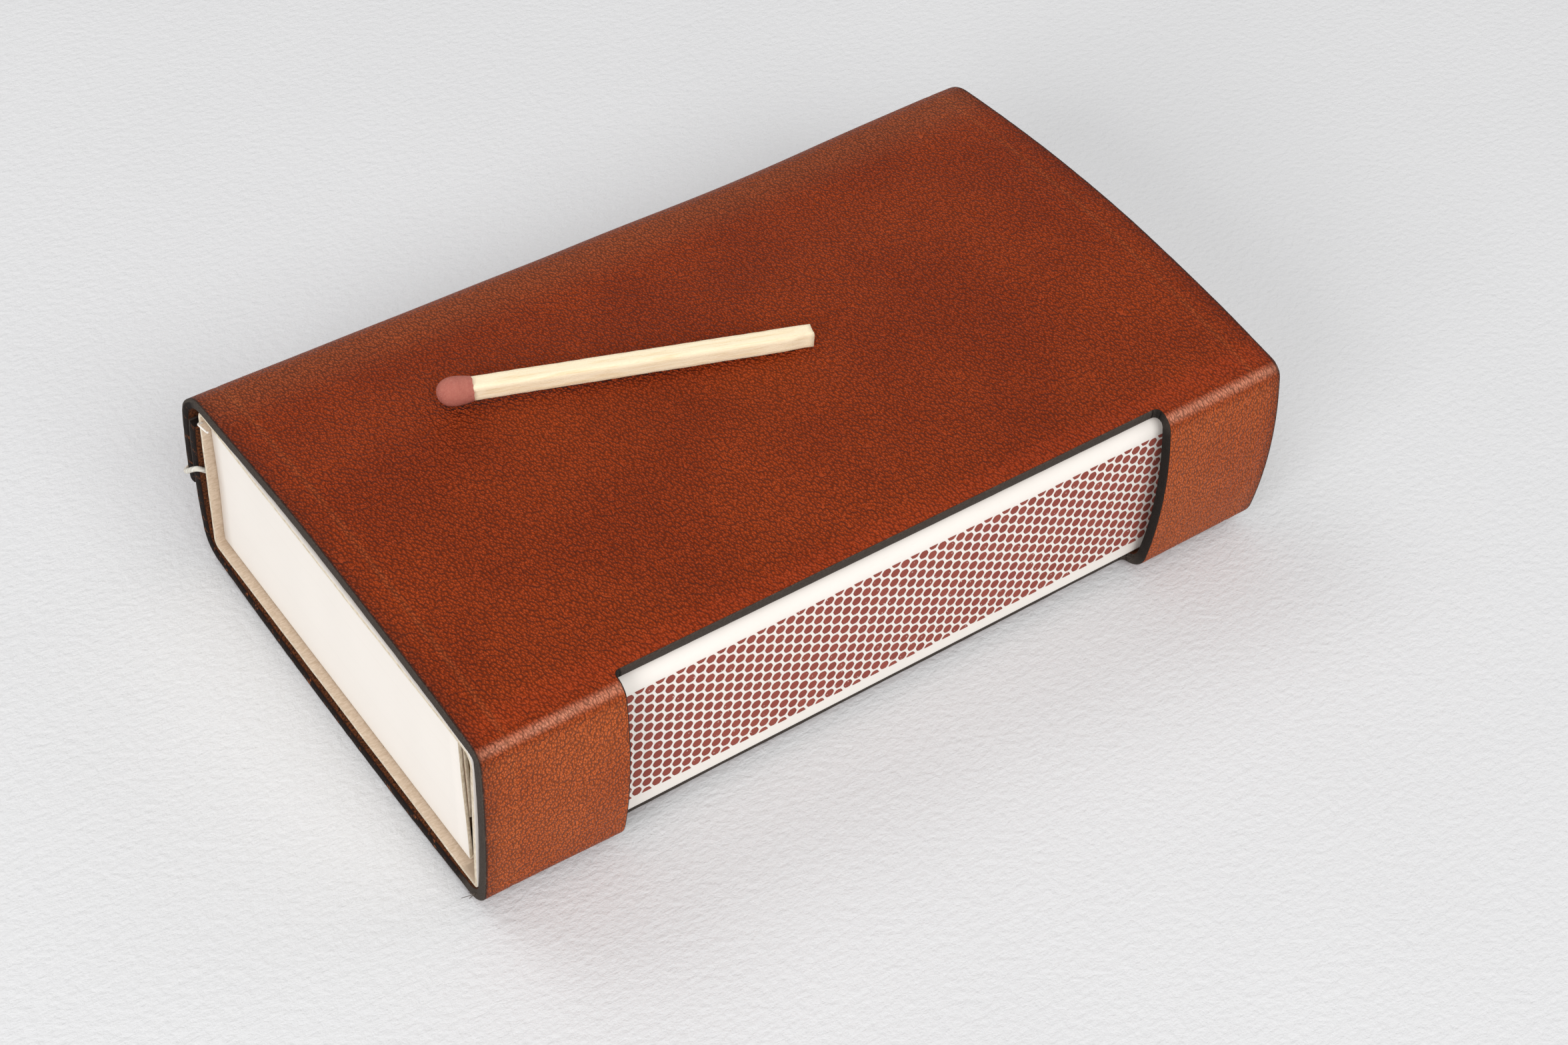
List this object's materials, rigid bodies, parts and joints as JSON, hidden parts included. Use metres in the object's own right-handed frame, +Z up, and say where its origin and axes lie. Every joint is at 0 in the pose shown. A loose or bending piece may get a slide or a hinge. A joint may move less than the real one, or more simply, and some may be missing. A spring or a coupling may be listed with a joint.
{
  "type": "matchbox holder",
  "caption": "Leather sleeve wrapped round a household matchbox, stitched at the back, with a window in the front that bares the striker and a loose match on top.",
  "frame": {"origin": "middle of the object's box, on the surface it rests on", "axes": "+X along the open-ended sleeve to the end away from the loose match's head, -Y towards the striker window, +Z up"},
  "size_m": [0.1174, 0.0706, 0.0316],
  "materials": {
    "tan_leather": "saddle-tan vegetable-tanned leather, waxed, with dark painted edges",
    "waxed_thread": "waxed linen thread",
    "white_card": "white-coated card, grey-brown board inside",
    "striking_coat": "matte printed striking dots on card",
    "match_wood": "pale split aspen",
    "head_compound": "dusty matte dipped compound"
  },
  "bodies": {
    "cover": {"leather_cover": "tan_leather", "seam_thread": "waxed_thread"},
    "card_box": {"box_sleeve": "white_card", "front_striker": "striking_coat", "rear_striker": "striking_coat"},
    "tray": {"tray": "white_card", "match_sticks_1": "match_wood", "match_sticks_2": "match_wood", "match_sticks_3": "match_wood", "match_sticks_4": "match_wood", "match_sticks_5": "match_wood", "match_heads_1": "head_compound", "match_heads_2": "head_compound", "match_heads_3": "head_compound", "match_heads_4": "head_compound", "match_heads_5": "head_compound"},
    "loose_match": {"loose_match_stick": "match_wood", "loose_match_head": "head_compound"}
  },
  "joints": [
    {"name": "box_slide", "type": "slide", "parent": "cover", "child": "card_box", "axis": [1, 0, 0], "range_m": [-0.118, 0.118]},
    {"name": "tray_slide", "type": "slide", "parent": "card_box", "child": "tray", "axis": [1, 0, 0], "range_m": [-0.115, 0.115]},
    {"name": "loose_match_lift", "type": "slide", "parent": "cover", "child": "loose_match", "axis": [0, 0, 1], "range_m": [0, 0.06]}
  ]
}
